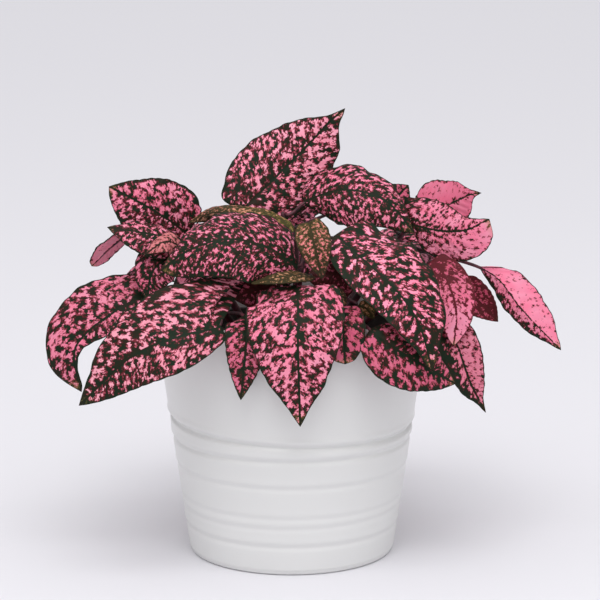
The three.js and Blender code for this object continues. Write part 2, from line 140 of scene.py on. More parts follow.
class Nodes:
    """A short way to write a material's node tree."""

    def __init__(self, name):
        self.material = bpy.data.materials.new(name)
        self.material.use_nodes = True
        self.tree = self.material.node_tree
        self.shader = self.tree.nodes["Principled BSDF"]

    def link(self, value, socket):
        if isinstance(value, bpy.types.NodeSocket):
            self.tree.links.new(value, socket)
        elif value is not None:
            socket.default_value = value

    def set(self, name, value):
        self.link(value, self.shader.inputs[name])

    def math(self, operation, a, b=None):
        node = self.tree.nodes.new("ShaderNodeMath")
        node.operation = operation
        self.link(a, node.inputs[0])
        self.link(b, node.inputs[1])
        return node.outputs[0]

    def attribute(self, name):
        node = self.tree.nodes.new("ShaderNodeAttribute")
        node.attribute_name = name
        return node.outputs["Fac"]

    def object_position(self):
        return self.tree.nodes.new("ShaderNodeTexCoord").outputs["Object"]

    def combine(self, x, y, z):
        node = self.tree.nodes.new("ShaderNodeCombineXYZ")
        for value, socket in zip((x, y, z), node.inputs):
            self.link(value, socket)
        return node.outputs[0]

    def noise(self, vector, scale, detail=2.0, roughness=0.5):
        node = self.tree.nodes.new("ShaderNodeTexNoise")
        self.link(vector, node.inputs["Vector"])
        node.inputs["Scale"].default_value = scale
        node.inputs["Detail"].default_value = detail
        node.inputs["Roughness"].default_value = roughness
        return node.outputs["Fac"]

    def cells(self, vector, scale):
        """A mosaic of cells in the plane: where each one's middle is, and a number of its own."""
        node = self.tree.nodes.new("ShaderNodeTexVoronoi")
        node.voronoi_dimensions = "2D"
        self.link(vector, node.inputs["Vector"])
        node.inputs["Scale"].default_value = scale
        return node.outputs["Position"], node.outputs["Color"]

    def ramp(self, factor, *stops):
        """Colours along factor: each stop is (position, (red, green, blue)), linear."""
        node = self.tree.nodes.new("ShaderNodeValToRGB")
        elements = node.color_ramp.elements
        while len(elements) < len(stops):
            elements.new(0.5)
        for element, (position, colour) in zip(elements, stops):
            element.position = position
            element.color = (*colour, 1)
        self.link(factor, node.inputs[0])
        return node.outputs["Color"]

    def mix(self, factor, a, b):
        node = self.tree.nodes.new("ShaderNodeMix")
        node.data_type = "RGBA"
        self.link(factor, node.inputs[0])
        for value, socket in ((a, node.inputs[6]), (b, node.inputs[7])):
            self.link((*value, 1) if isinstance(value, tuple) else value, socket)
        return node.outputs[2]

    def band(self, value, low, high):
        """0 where value is at low or beyond, 1 where it is at high or beyond."""
        node = self.tree.nodes.new("ShaderNodeMapRange")
        self.link(value, node.inputs["Value"])
        node.inputs["From Min"].default_value = low
        node.inputs["From Max"].default_value = high
        return node.outputs["Result"]

    def bump(self, height, distance, strength=1.0):
        node = self.tree.nodes.new("ShaderNodeBump")
        node.inputs["Strength"].default_value = strength
        node.inputs["Distance"].default_value = distance
        self.link(height, node.inputs["Height"])
        self.link(node.outputs[0], self.shader.inputs["Normal"])
        return node.outputs[0]


# ---------------------------------------------------------------- leaf materials

# Linear colours of a leaf's skin.
DARK_GREEN = (0.009, 0.019, 0.0095)
BROWN_GREEN = (0.022, 0.0145, 0.0085)
MAROON = (0.12, 0.011, 0.02)
ROSE = (0.45, 0.092, 0.13)
PINK = (0.97, 0.25, 0.385)
PALE_PINK = (0.97, 0.37, 0.51)
DUSTY_PINK = (0.86, 0.42, 0.48)
# A darker pink, painted on grown leaves as shade.
SHADED_PINK = (0.52, 0.07, 0.145)
BROWN = (0.11, 0.045, 0.028)
OLIVE = (0.17, 0.15, 0.035)
BEIGE = (0.56, 0.20, 0.20)
ROSE_BROWN = (0.3, 0.06, 0.07)
PALE_OLIVE = (0.5, 0.4, 0.11)
DARK_OLIVE = (0.06, 0.052, 0.016)
YOUNG_ROSE = (0.78, 0.19, 0.23)
WITHERED = (0.6, 0.28, 0.2)
UNDER_FACE = (0.3, 0.09, 0.11)

# A side vein runs VEIN_SLANT mm on for each mm out, and VEIN_BEND more with every further mm.
VEIN_SLANT = 0.8
VEIN_BEND = 0.008
# A cell is CELL_SHARE of a patch wide, and DRAWN_OUT times as long as it is wide.
CELL_SHARE = 0.3
DRAWN_OUT = 1.4
# In the space of the cells: how fast the patches, their clusters and the skin's tint change.
PATCH_SCALE = 0.2
CLUSTER_SCALE = 0.062
CLOUD_SCALE = 0.05
# Keeps the two halves of a leaf, and the leaves, from having the same pattern.
HALF_OFFSET = 23.7
SEED_OFFSET = 17.3


def leaf_skin(name, upper, young=False):
    """The speckled skin of a leaf, seen on its upper or its under face. It reads these attributes of
    the blade: across_mm from the midrib, along_mm from the blade's foot, edge_mm in from the margin,
    green (how much of the place is dark green), fleck_mm (the size of its patches), seed, and the
    tints tip, olive, pale, maroon, fresh and rose_tint_and_shade, each from 0 to 1. On grown leaves
    rose_tint_and_shade is painted shade, a darker pink; on young leaves it is a rose tint."""
    n = Nodes(name)
    across = n.attribute("across_mm")
    along = n.attribute("along_mm")
    edge = n.attribute("edge_mm")
    green = n.attribute("green")
    fleck = n.attribute("fleck_mm")
    seed = n.attribute("seed")
    tip = n.attribute("tip")
    out = n.math("ABSOLUTE", across)

    # Side veins leave the midrib slantwise and bend towards the tip. The skin is a mosaic of small
    # cells drawn out along them, and each cell is all one colour, so patches have stepped edges.
    slant = n.math("MULTIPLY", out, n.math("ADD", n.math("MULTIPLY", out, VEIN_BEND), VEIN_SLANT))
    over_vein = n.math("SUBTRACT", along, slant)
    along_vein = n.math("ADD", out, n.math("MULTIPLY", along, VEIN_SLANT))
    half = n.math("MULTIPLY", n.math("SIGN", across), HALF_OFFSET)
    cell_mm = n.math("MULTIPLY", fleck, CELL_SHARE * math.hypot(1, VEIN_SLANT))
    place = n.combine(
        n.math("ADD", n.math("DIVIDE", over_vein, cell_mm), n.math("MULTIPLY", seed, SEED_OFFSET)),
        n.math("ADD", n.math("DIVIDE", along_vein, n.math("MULTIPLY", cell_mm, DRAWN_OUT)), half),
        0.0,
    )
    cell_place, cell_chance = n.cells(place, 1.0)
    patches = n.noise(cell_place, PATCH_SCALE, detail=2.2, roughness=0.6)
    grain = n.math("MULTIPLY", n.math("SUBTRACT", cell_chance, 0.5), 0.12)

    # The midrib and the margin are dark.
    rib = n.math("MULTIPLY", n.band(out, 0.6, 0.25), 0.22)
    margin = n.math("MULTIPLY", n.band(edge, 0.5, 0.25), 0.5)
    near_margin = n.math("MULTIPLY", n.band(edge, 2.6, 0.3), 0.08)
    value = n.math("ADD", patches, grain)
    clusters = n.math("MULTIPLY", n.math("SUBTRACT", n.noise(place, CLUSTER_SCALE, detail=1.0), 0.5), 0.2)
    value = n.math("ADD", value, clusters)
    for dark in (rib, margin, near_margin, green):
        value = n.math("SUBTRACT", value, dark)
    value = n.math("ADD", value, 0.5)
    cloud = n.noise(place, CLOUD_SCALE, detail=1.0)

    if young:
        tan = n.mix(n.attribute("olive"), BROWN, OLIVE)
        skin = n.mix(n.band(value, 0.44, 0.5), n.mix(n.attribute("olive"), BROWN_GREEN, DARK_OLIVE), tan)
        skin = n.mix(n.band(value, 0.49, 0.53), skin, n.mix(n.attribute("olive"), ROSE_BROWN, OLIVE))
        light = n.mix(n.attribute("olive"), BEIGE, PALE_OLIVE)
        light = n.mix(n.attribute("rose_tint_and_shade"), light, YOUNG_ROSE)
        skin = n.mix(n.band(value, 0.53, 0.59), skin, light)
    else:
        green_skin = n.ramp(cloud, (0.45, DARK_GREEN), (0.75, BROWN_GREEN))
        green_skin = n.mix(n.attribute("maroon"), green_skin, MAROON)
        pink_skin = n.ramp(cloud, (0.35, PINK), (0.7, PALE_PINK))
        pink_skin = n.mix(n.attribute("pale"), pink_skin, DUSTY_PINK)
        # Painted shade: grown leaves that lie in shade, and the shaded feet of some, are mixed towards a
        # darker pink.
        pink_skin = n.mix(n.attribute("rose_tint_and_shade"), pink_skin, SHADED_PINK)
        skin = n.mix(n.band(value, 0.418, 0.475), green_skin, MAROON)
        skin = n.mix(n.band(value, 0.47, 0.51), skin, ROSE)
        skin = n.mix(n.band(value, 0.505, 0.548), skin, pink_skin)
        # Old tips turn olive.
        skin = n.mix(n.math("MULTIPLY", tip, 0.75), skin, n.ramp(
            value, (0.34, BROWN_GREEN), (0.44, OLIVE), (0.6, WITHERED)))
    if not upper:
        dull = n.math("SUBTRACT", 0.35, n.math("MULTIPLY", n.attribute("fresh"), 0.35))
        skin = n.mix(dull, skin, UNDER_FACE)
    n.set("Base Color", skin)
    n.set("Roughness", 0.48)
    n.set("Specular IOR Level", 0.09)
    n.set("Subsurface Weight", 0.06)
    n.set("Subsurface Radius", (1.0, 0.35, 0.25))
    n.set("Subsurface Scale", 0.0015)
    cells_in_skin = n.noise(n.object_position(), 900.0, detail=2.0)
    n.bump(cells_in_skin, 0.0003, 0.25)
    return n.material


def stalk_skin():
    n = Nodes("stalk_skin")
    flecks = n.noise(n.object_position(), 260.0, detail=3.0)
    n.set("Base Color", n.ramp(flecks, (0.38, (0.022, 0.007, 0.01)), (0.62, (0.12, 0.02, 0.035))))
    n.set("Roughness", 0.5)
    n.bump(n.noise(n.object_position(), 700.0), 0.0002, 0.3)
    return n.material


def soil_crumb():
    n = Nodes("soil_crumb")
    crumbs = n.noise(n.object_position(), 420.0, detail=5.0, roughness=0.65)
    n.set("Base Color", n.ramp(crumbs, (0.3, (0.006, 0.004, 0.003)), (0.55, (0.035, 0.022, 0.014)),
                               (0.72, (0.12, 0.085, 0.055))))
    n.set("Roughness", 0.95)
    n.bump(crumbs, 0.001, 0.8)
    return n.material


def white_glaze():
    n = Nodes("white_glaze")
    tone = n.noise(n.object_position(), 9.0, detail=2.0)
    n.set("Base Color", n.ramp(tone, (0.3, (0.71, 0.71, 0.70)), (0.7, (0.745, 0.745, 0.735))))
    n.set("Roughness", n.math("ADD", n.math("MULTIPLY", tone, 0.08), 0.3))
    n.set("Coat Weight", 0.15)
    n.set("Coat Roughness", 0.18)
    n.bump(n.noise(n.object_position(), 130.0, detail=2.0), 0.0001, 0.25)
    return n.material


def liner_plastic():
    n = Nodes("liner_plastic")
    scuffs = n.noise(n.object_position(), 160.0, detail=4.0, roughness=0.6)
    n.set("Base Color", n.ramp(scuffs, (0.35, (0.018, 0.014, 0.012)), (0.7, (0.035, 0.028, 0.024))))
    n.set("Roughness", n.math("ADD", n.math("MULTIPLY", scuffs, 0.3), 0.35))
    n.bump(scuffs, 0.0001, 0.3)
    return n.material


# ---------------------------------------------------------------- reading the leaves' and stems' places

def neighbours_of(mesh):
    near = [set() for _ in mesh.vertices]
    for edge in mesh.edges:
        a, b = edge.vertices
        near[a].add(b)
        near[b].add(a)
    return near


def unit(vectors):
    return vectors / np.maximum(np.linalg.norm(vectors, axis=-1, keepdims=True), 1e-12)


def rings_of(piece, sides):
    """The rings of a closed skin with a pole at each end: (first pole, [ring, ...], last pole), as
    rows of points. The first pole is the one whose ring is rounder, and each ring runs
    anticlockwise, seen from the last pole."""
    near = neighbours_of(piece.data)
    points = points_of(piece.data)

    def roundness(pole):
        ring = points[list(near[pole])]
        spans = np.linalg.svd(ring - ring.mean(0), compute_uv=False)
        return spans[1] / spans[0]

    poles = [i for i, linked in enumerate(near) if len(linked) == sides
             and all(len(near[j] & linked) == 2 for j in linked)]
    poles.sort(key=roundness, reverse=True)
    first, last = poles[0], poles[-1]
    rings = []
    seen = {first}
    current = set(near[first])
    while last not in current:
        ring = [min(current)]
        while len(ring) < len(current):
            ring.append(min(j for j in near[ring[-1]] if j in current and j not in ring))
        rings.append(points[ring])
        seen |= current
        current = set().union(*(near[i] for i in current)) - seen
    centres = np.array([points[first], *(ring.mean(0) for ring in rings), points[last]])
    tangents = np.gradient(centres, axis=0)[1:-1]
    for k, (ring, tangent) in enumerate(zip(rings, tangents)):
        turn = np.cross(ring - ring.mean(0), np.roll(ring, -1, axis=0) - ring.mean(0)).sum(0)
        if np.dot(turn, tangent) < 0:
            rings[k] = ring[::-1]
    return points[first], rings, points[last]


def lined_up(ring, other):
    """The ring, turned so that each of its points corresponds to the one in the other ring."""
    def shape(points):
        points = points - points.mean(0)
        return points / np.linalg.norm(points, axis=1).max()

    turns = [np.roll(ring, -k, axis=0) for k in range(len(ring))]
    return min(turns, key=lambda turned: np.square(shape(turned) - shape(other)).sum())


FURROW_SHARE = 0.21


def blade_sections(node):
    """What a leaf's place in the frame says: its stalk's centre line, and for each section of the
    blade the five points left margin, left middle, midrib, right middle, right margin."""
    copy = merged_copy(node)
    foot, rings, tip = rings_of(copy, 8)
    bpy.data.objects.remove(copy)
    stalk = np.array([foot, *(ring.mean(0) for ring in rings[:3])])
    rings = rings[3:]
    # In the widest section, the margins are the two opposite points that lie furthest apart. The
    # other sections follow it, point by point.
    def spans(ring):
        return np.linalg.norm(ring[:4] - ring[4:], axis=1)

    widest = max(range(len(rings)), key=lambda i: spans(rings[i]).max())
    rings[widest] = np.roll(rings[widest], -int(np.argmax(spans(rings[widest]))), axis=0)
    for i in range(widest + 1, len(rings)):
        rings[i] = lined_up(rings[i], rings[i - 1])
    for i in range(widest - 1, -1, -1):
        rings[i] = lined_up(rings[i], rings[i + 1])
    # Every leaf on this plant turns its upper face upwards, if only a little.
    if sum(ring[2, 2] - ring[6, 2] for ring in rings[2:8]) < 0:
        rings = [np.roll(ring, 4, axis=0) for ring in rings]
    # The ring's upper and under points on the midrib are a furrow and a deeper ridge, so the blade's
    # own middle lies nearer to the furrow.
    lines = [[ring[0], ring[[1, 7]].mean(0), ring[2] + (ring[6] - ring[2]) * FURROW_SHARE,
              ring[[3, 5]].mean(0), ring[4]] for ring in rings]
    return stalk, np.array(lines), tip


def through(knots, values, at):
    """Smooth values at the given places, through all of the known ones (a cubic Hermite spline)."""
    steps = np.diff(knots)[:, None]
    slopes = np.diff(values, axis=0) / steps
    middle = (slopes[:-1] * steps[1:] + slopes[1:] * steps[:-1]) / (steps[:-1] + steps[1:])
    tangents = np.vstack([slopes[:1], middle, slopes[-1:]])
    i = np.clip(np.searchsorted(knots, at, side="right") - 1, 0, len(knots) - 2)
    h = (knots[i + 1] - knots[i])[:, None]
    u = ((at - knots[i])[:, None]) / h
    return ((2 * u**3 - 3 * u**2 + 1) * values[i] + (u**3 - 2 * u**2 + u) * h * tangents[i]
            + (3 * u**2 - 2 * u**3) * values[i + 1] + (u**3 - u**2) * h * tangents[i + 1])


# ---------------------------------------------------------------- leaves

# How far along the blade each section of its place in the frame lies.
BLADE_STOPS = np.array([0.03, 0.1, 0.2, 0.32, 0.45, 0.58, 0.7, 0.81, 0.9, 0.965])
ROWS, COLUMNS = 76, 36
BLADE_MM = 0.38
STALK_MM = 0.9
RIB_MM = (0.66, 0.16)
FURROW_MM = 0.28
SCALLOP_MM = 0.32


def blade(node, look):
    """One leaf's blade, as a grid laid over its sections in the frame."""
    stalk, sections, tip = blade_sections(node)
    foot = stalk[-1] + (sections[0, 2] - stalk[-1]) * 0.6
    knots = np.concatenate([[0.0], BLADE_STOPS, [1.0]])
    lines = []
    for k in range(5):
        lines.append(np.vstack([foot, sections[:, k], tip]))

    bpy.ops.mesh.primitive_grid_add(x_subdivisions=COLUMNS, y_subdivisions=ROWS, size=1)
    piece = bpy.context.object
    mesh = piece.data
    grid = points_of(mesh)
    s = grid[:, 0] * 2
    t = grid[:, 1] + 0.5
    rows = np.round(t * ROWS).astype(int)
    stops = np.linspace(0, 1, ROWS + 1)
    # Rows lie closer together towards the foot, where the outline turns fast.
    stops = stops ** 1.25
    t = stops[rows]
    at = [through(knots, line, stops) for line in lines]
    left, left_middle, middle, right_middle, right = [line[rows] for line in at]
    half = np.abs(s)[:, None]
    margin = np.where(s[:, None] < 0, left, right)
    halfway = np.where(s[:, None] < 0, left_middle, right_middle)
    # Each half is a smooth curve from the midrib, through its middle, to its margin.
    points = (middle * (1 - half) * (1 - 2 * half) + halfway * 4 * half * (1 - half)
              + margin * half * (2 * half - 1))

    table = points.reshape(ROWS + 1, COLUMNS + 1, 3)
    order = np.lexsort((s, t))
    table = points[order].reshape(ROWS + 1, COLUMNS + 1, 3)
    # Some leaves draw out into a narrow tip, which may hook to one side.
    rib_line = table[:, COLUMNS // 2][:, None]
    drawn = np.clip((stops - 0.76) / 0.17, 0, 1)[:, None, None]
    table = rib_line + (table - rib_line) * (1 - look["pinch"] * drawn * drawn * (3 - 2 * drawn))
    sideways = unit(table[int(0.85 * ROWS), -1] - table[int(0.85 * ROWS), 0])
    onwards = unit(table[-1, 0] - table[int(0.9 * ROWS), COLUMNS // 2])
    bent = np.clip((stops - 0.8) / 0.2, 0, 1)[:, None, None] ** 2
    table = table + (sideways * look["hook"] + onwards * look["reach"]) * MM * bent
    steps_along = np.linalg.norm(np.diff(table[:, COLUMNS // 2], axis=0), axis=1)
    along = np.concatenate([[0], np.cumsum(steps_along)])
    steps = np.linalg.norm(np.diff(table, axis=1), axis=2)
    across = np.concatenate([np.zeros((ROWS + 1, 1)), np.cumsum(steps, axis=1)], axis=1)
    across -= across[:, COLUMNS // 2][:, None]
    edge = np.minimum(across[:, -1:] - across, across - across[:, :1])
    du = np.gradient(table, axis=1)
    dv = np.gradient(table, axis=0)
    normal = unit(np.cross(du, dv))
    across_mm = across / MM
    along_mm = np.repeat(along[:, None] / MM, COLUMNS + 1, axis=1)
    length_mm = along_mm[-1, 0]
    edge_mm = edge / MM
    share = np.linspace(-1, 1, COLUMNS + 1)[None, :]
    t_grid = np.repeat(stops[:, None], COLUMNS + 1, axis=1)

    # Quilting between the side veins, and a furrow along the midrib.
    out_mm = np.abs(across_mm)
    vein_mm = along_mm - out_mm * (VEIN_SLANT + VEIN_BEND * out_mm)
    spacing_mm = max(2.6, length_mm / 9)
    shift = np.where(share < 0, 0.0, 0.35)
    pillow = np.abs(np.sin(np.pi * (vein_mm / spacing_mm + shift + look["seed"])))
    puff = np.clip(out_mm / 2.5, 0, 1) * np.clip(edge_mm / 4.0, 0, 1)
    width_mm = edge_mm[:, COLUMNS // 2][:, None]
    lift_mm = look["quilt"] * (pillow - 0.6) * puff * np.clip(width_mm / 12, 0.3, 1)
    furrow = np.exp(-(out_mm / 0.8) ** 2) * np.clip(t_grid * 12, 0, 1)
    lift_mm -= FURROW_MM * furrow * np.clip((1 - t_grid) * 6, 0, 1)
    # The margins ripple.
    ripple = np.sin(along_mm / look["ripple_mm"] * 2 * np.pi + look["seed"] * 7 + share * 1.1)
    ripple += 0.5 * np.sin(along_mm / look["ripple_mm"] * 4.4 * np.pi + look["seed"] * 3)
    fade = np.clip(t_grid * 5, 0, 1) * np.clip((1 - t_grid) * 4, 0, 1)
    lift_mm += look["ripple"] * ripple * np.abs(share) ** 3 * fade * np.clip(width_mm / 10, 0.3, 1)
    table = table + normal * (lift_mm * MM)[:, :, None]
    # Shallow scallops round the margin, one to each side vein.
    scallop = -np.abs(np.sin(np.pi * (vein_mm / spacing_mm + shift + look["seed"]))) + 0.5
    inward = unit(table[:, COLUMNS // 2][:, None, :] - table)
    table = table + inward * (scallop * SCALLOP_MM * MM * np.abs(share) ** 6 * fade)[:, :, None]

    place_points(mesh, table.reshape(-1, 3)[np.argsort(order)])
    green = look["green"] + look["left"] * np.clip(-share, 0, 1) + look["right"] * np.clip(share, 0, 1)
    green = green + look["foot"] * (1 - t_grid) + look["end"] * t_grid
    green = green + look["rib"] * np.exp(-(out_mm / look["rib_mm"]) ** 2) * (1 - 0.6 * t_grid)
    values = {
        "across_mm": across_mm,
        "along_mm": along_mm,
        "edge_mm": np.minimum(edge_mm, np.minimum(along_mm, length_mm - along_mm) + 0.3),
        "green": green * np.ones_like(t_grid),
        "fleck_mm": np.full_like(t_grid, look["fleck"]),
        "seed": np.full_like(t_grid, look["seed"]),
        "tip": np.clip((t_grid - 0.9) / 0.1, 0, 1) * look["tip"],
        "olive": np.clip(look["olive"] + look["olive_foot"] * (1 - t_grid), 0, 1),
        "pale": np.clip(look["pale"] + look["pale_end"] * t_grid, 0, 1),
        "maroon": np.full_like(t_grid, look["maroon"]),
        "fresh": np.full_like(t_grid, look["fresh"]),
        "rose_tint_and_shade": np.clip(look["rose_tint_and_shade"] + look["rose_tint_and_shade_foot"] * (1 - t_grid), 0, 1),
    }
    for name, grid_values in values.items():
        attribute = mesh.attributes.new(name, "FLOAT", "POINT")
        attribute.data.foreach_set("value", grid_values.reshape(-1)[np.argsort(order)].astype(np.float32))

    # The first row and the last one are single points.
    merge_near(piece)
    wall = piece.modifiers.new("wall", "SOLIDIFY")
    wall.thickness = BLADE_MM * MM
    wall.offset = -1
    wall.material_offset = 1
    wall.material_offset_rim = 0
    return piece, stalk, table, normal


def ribbed_stalk(stalk, table, normal):
    """The stalk, and the midrib that it becomes under the blade."""
    start = stalk[0] + (stalk[0] - stalk[1]) * (0.6 * MM / np.linalg.norm(stalk[0] - stalk[1]))
    rows = np.linspace(5, 0.9 * ROWS, 15).astype(int)
    rib_radii = np.linspace(*RIB_MM, len(rows))
    depths = (rib_radii + 0.2) * MM
    rib = [table[row, COLUMNS // 2] - normal[row, COLUMNS // 2] * depth for row, depth in zip(rows, depths)]
    path = np.array([start, *stalk, *rib])
    radii = [STALK_MM * 1.15, STALK_MM, STALK_MM * 0.95, STALK_MM * 0.95, STALK_MM * 0.9, *rib_radii]
    curve = bpy.data.curves.new("stalk", "CURVE")
    curve.dimensions = "3D"
    curve.bevel_depth = MM
    curve.bevel_resolution = 2
    curve.resolution_u = 4
    curve.use_fill_caps = True
    spline = curve.splines.new("NURBS")
    spline.points.add(len(path) - 1)
    for point, place, radius in zip(spline.points, path, radii):
        point.co = (*place, 1)
        point.radius = radius
    spline.order_u = 3
    spline.use_endpoint_u = True
    piece = bpy.data.objects.new("stalk", curve)
    bpy.context.collection.objects.link(piece)
    make_active(piece)
    bpy.ops.object.convert(target="MESH")
    return bpy.context.object


def leaf(node, look, skins):
    piece, stalk, table, normal = blade(node, look)
    apply_modifiers(piece)
    for skin in skins:
        piece.data.materials.append(skin)
    rib = ribbed_stalk(stalk, table, normal)
    rib.data.materials.clear()
    rib.data.materials.append(skins[2])
    piece = join([piece, rib])
    piece.name = node.removeprefix("leaf_") + "_leaf"
    piece.data.name = piece.name
    smooth(piece, 55)
    finish_piece(piece, "young_leaf" if look["young"] else "leaf", node)


# How each leaf looks. green: how much of it is dark green, from 0.3 for a pink leaf to 0.57 for a
# nearly green one. left, right, foot, end, rib: how much greener it is there, and rib_mm how far
# that reaches beside the rib. fleck: its patches' size in mm. quilt and ripple: the height of its
# pillows and margins in mm, and ripple_mm the margin's wave length. tip: how withered its tip is.
# olive, pale, rose_tint_and_shade, maroon: how far its colours turn that way, all over, at the foot or at
# the end. rose_tint_and_shade is painted shade on grown leaves, a darker pink, and a rose tint on young
# ones.
# fresh: how bright its under face is. pinch: how much narrower its tip is. hook and reach: how far
# its tip bends sideways and onwards in mm.
PLAIN = {
    "green": 0.5, "left": 0.0, "right": 0.0, "foot": 0.0, "end": 0.0, "rib": 0.06, "rib_mm": 3.0,
    "fleck": 1.95, "quilt": 0.5, "ripple": 0.6, "ripple_mm": 17.0, "tip": 1.0, "olive": 0.0,
    "olive_foot": 0.0, "pale": 0.0, "pale_end": 0.0, "rose_tint_and_shade": 0.0, "rose_tint_and_shade_foot": 0.0, "maroon": 0.0,
    "fresh": 0.0, "pinch": 0.0, "hook": 0.0, "reach": 0.0, "young": False,
}
SPECKLED = {"green": 0.495, "fleck": 1.59}
DENSE = {"green": 0.53, "fleck": 1.22, "rib": 0.05, "rose_tint_and_shade": 0.2}
ROSY = {"green": 0.465, "rib": 0.11, "rib_mm": 2.2, "fleck": 1.59}
PINKEST = {"green": 0.41, "rib": 0.07, "rib_mm": 1.2, "fleck": 1.22, "quilt": 0.55}
YOUNG = {"green": 0.5, "fleck": 0.92, "young": True, "quilt": 0.4, "ripple": 0.5}
# The inner leaves deep in the crown: darker green, maroon and a darker pink, painted shade.
INNER_IN_SHADE = {**DENSE, "green": 0.57, "rose_tint_and_shade": 0.8, "maroon": 0.5}
LOOKS = {
    "crown": {**SPECKLED, "green": 0.505, "foot": 0.05, "end": -0.02, "pale": 0.2,
              "pale_end": 0.2, "pinch": 0.5, "hook": 1.0, "reach": 0.5},
    "arch_right": {**DENSE, "green": 0.543},
    "arch_left": {**YOUNG, "olive": 0.3},
    "young_arch": {**YOUNG, "olive_foot": 1.0, "green": 0.5, "olive": 0.1, "rose_tint_and_shade": 0.5},
    "young_front": {**YOUNG, "olive": 0.12, "olive_foot": 0.45, "green": 0.5, "rose_tint_and_shade": 1.0,
                    "rose_tint_and_shade_foot": -0.4, "fleck": 0.75},
    "dome_left": {**DENSE, "green": 0.562, "rose_tint_and_shade": 0.25},
    "sweep_right": {**SPECKLED, "green": 0.576, "rib": 0.045, "fleck": 1.77, "pinch": 0.3,
                    "end": -0.03, "foot": -0.03},
    # Darker pink towards its foot: painted shade.
    "front_middle": {**ROSY, "foot": 0.03, "pale_end": 0.2, "rose_tint_and_shade_foot": 0.5, "fleck": 1.71,
                     "green": 0.49, "pinch": 0.2},
    "young_curl": {**YOUNG, "olive": 0.4, "green": 0.51},
    "front_left": {**ROSY, "green": 0.5, "rose_tint_and_shade": 0.65},
    "front_right": {**ROSY, "green": 0.49, "rose_tint_and_shade": 0.85},
    "right_low": {**ROSY, "green": 0.52, "rib": 0.14, "rose_tint_and_shade": 0.75},
    "young_left_bud": {**YOUNG, "olive": 0.4, "rose_tint_and_shade": 0.3, "green": 0.47},
    "young_right_bud": {**YOUNG, "olive": 0.6, "rose_tint_and_shade": 0.3, "green": 0.47},
    "left_high": {**SPECKLED, "green": 0.515, "fleck": 1.52, "rose_tint_and_shade": 0.2},
    "left_middle": {**DENSE, "green": 0.53, "pale": 0.2},
    "young_left": {**YOUNG, "green": 0.4, "rose_tint_and_shade": 0.3},
    "left_drooping": {**DENSE, "green": 0.518, "rose_tint_and_shade": 0.4},
    "left_far": {**PINKEST, "green": 0.32, "pale": 0.25, "fresh": 1.0},
    "left_hanging": {**SPECKLED, "green": 0.512, "pale": 0.1, "rose_tint_and_shade": 0.35},
    "left_front": {**SPECKLED, "green": 0.532, "fleck": 1.65, "rib": 0.09, "pale": 0.45,
                   "rose_tint_and_shade_foot": 0.3, "pale_end": 0.25},
    "right_high_front": {**PINKEST, "green": 0.335, "end": 0.03, "rose_tint_and_shade": 0.25, "rib": 0.1,
                         "rib_mm": 3.0, "foot": 0.17},
    "right_high_back": {**PINKEST, "green": 0.37, "rose_tint_and_shade": 0.6, "pinch": 0.5, "hook": 2.0,
                        "reach": 1.5},
    "right_top_small": {**PINKEST, "green": 0.5, "rose_tint_and_shade": 0.7},
    "right_far": {**PINKEST, "green": 0.36, "right": 0.24, "pinch": 0.3, "rose_tint_and_shade": 0.28},
    "right_shade": DENSE,
    # Maroon and darker towards its foot: partly its own maroon colour, partly painted shade.
    "right_shaded": {**PINKEST, "green": 0.3, "foot": 0.34, "rose_tint_and_shade_foot": 1.1, "rib": 0.05,
                     "maroon": 0.8},
    "right_maroon": {**DENSE, "green": 0.54, "rose_tint_and_shade": 1.0, "maroon": 0.7},
    "right_hanging": {**PINKEST, "green": 0.43, "right": 0.26, "rose_tint_and_shade": 0.5, "tip": 1.3,
                      "pale": 0.5, "pinch": 0.4, "reach": 1.0},
    "inner_left": INNER_IN_SHADE,
    "left_top_inner": INNER_IN_SHADE,
    "right_inner": INNER_IN_SHADE,
}


def looks_of(index, name):
    look = {**PLAIN, **LOOKS.get(name, SPECKLED)}
    look["seed"] = 1.37 * index + 0.5
    return look


def leaves():
    stalk = stalk_skin()
    grown = [leaf_skin("leaf_upper", True), leaf_skin("leaf_under", False), stalk]
    young = [leaf_skin("young_leaf_upper", True, True), leaf_skin("young_leaf_under", False, True), stalk]
    names = sorted(name for name in nodes if name.startswith("leaf_"))
    for index, node in enumerate(names):
        look = looks_of(index, node.removeprefix("leaf_"))
        leaf(node, look, young if look["young"] else grown)


# ---------------------------------------------------------------- stems

def stems():
    skin = stalk_skin()
    for node in sorted(name for name in nodes if name.startswith("stem_")):
        piece = merged_copy(node)
        piece.name = node + "_bark"
        piece.data.name = piece.name
        rounding = piece.modifiers.new("rounding", "SUBSURF")
        rounding.levels = 2
        rounding.render_levels = 2
        apply_modifiers(piece)
        piece.data.materials.append(skin)
        smooth(piece)
        finish_piece(piece, "stem", node)


# ---------------------------------------------------------------- pots

def spun(name, profile, steps):
    """A turned piece: a profile of (radius, height) points, spun round the upright axis."""
    mesh = bpy.data.meshes.new(name)
    mesh.from_pydata([(r, 0, z) for r, z in profile], [(i, i + 1) for i in range(len(profile) - 1)], [])
    piece = bpy.data.objects.new(name, mesh)
    bpy.context.collection.objects.link(piece)
    make_active(piece)
    bpy.ops.object.mode_set(mode="EDIT")
    bpy.ops.mesh.select_all(action="SELECT")
    bpy.ops.mesh.spin(steps=steps, angle=2 * math.pi, center=(0, 0, 0), axis=(0, 0, 1))
    bpy.ops.mesh.select_all(action="SELECT")
    bpy.ops.mesh.remove_doubles(threshold=1e-6)
    bpy.ops.mesh.normals_make_consistent(inside=False)
    bpy.ops.object.mode_set(mode="OBJECT")
    return piece


pot_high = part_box("cover_pot")[1]
POT_HEIGHT = pot_high.z
RIM_RADIUS = pot_high.x
FOOT_RADIUS = 0.048
FOOT_ROUND = 0.0022
WALL = 0.0045
POT_FLOOR = 0.006
FLOOR_ROUND = 0.003
WALL_ROWS = 230
POT_STEPS = 144
